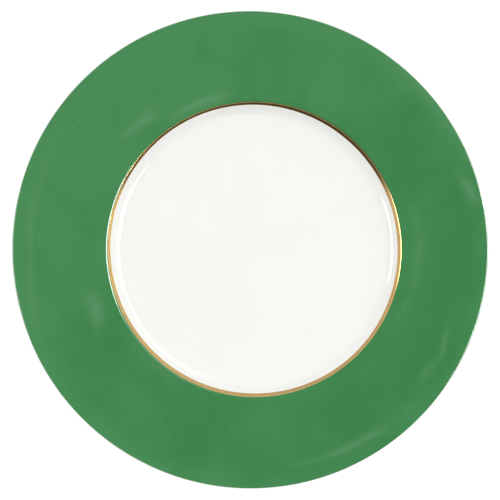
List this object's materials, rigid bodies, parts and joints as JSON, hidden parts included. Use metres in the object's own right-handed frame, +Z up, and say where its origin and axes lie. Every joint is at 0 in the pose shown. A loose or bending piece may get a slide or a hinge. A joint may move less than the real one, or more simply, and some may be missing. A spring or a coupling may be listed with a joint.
{
  "type": "dinner plate",
  "caption": "Round white china dinner plate with a flat well, a sloping rim banded in green enamel, a gold line on the verge and a foot ring.",
  "frame": {"origin": "centre of the face the plate stands on", "axes": "+Z up along the axis the plate was turned about; X and Y are free, since the plate is the same all round"},
  "size_m": [0.273, 0.273, 0.0211],
  "materials": {
    "china": "bare fired bone china, matt, seen only on the face the plate stands on",
    "glaze": "clear gloss glaze over white china",
    "green_enamel": "opaque green enamel fired to a gloss, faintly cloudy",
    "gold": "burnished gold, brushed along the line"
  },
  "bodies": {
    "root": {"china_body": "china", "glaze_coat": "glaze", "foot_well_glaze": "glaze", "green_ground_band": "green_enamel", "gold_line": "gold"}
  },
  "joints": []
}
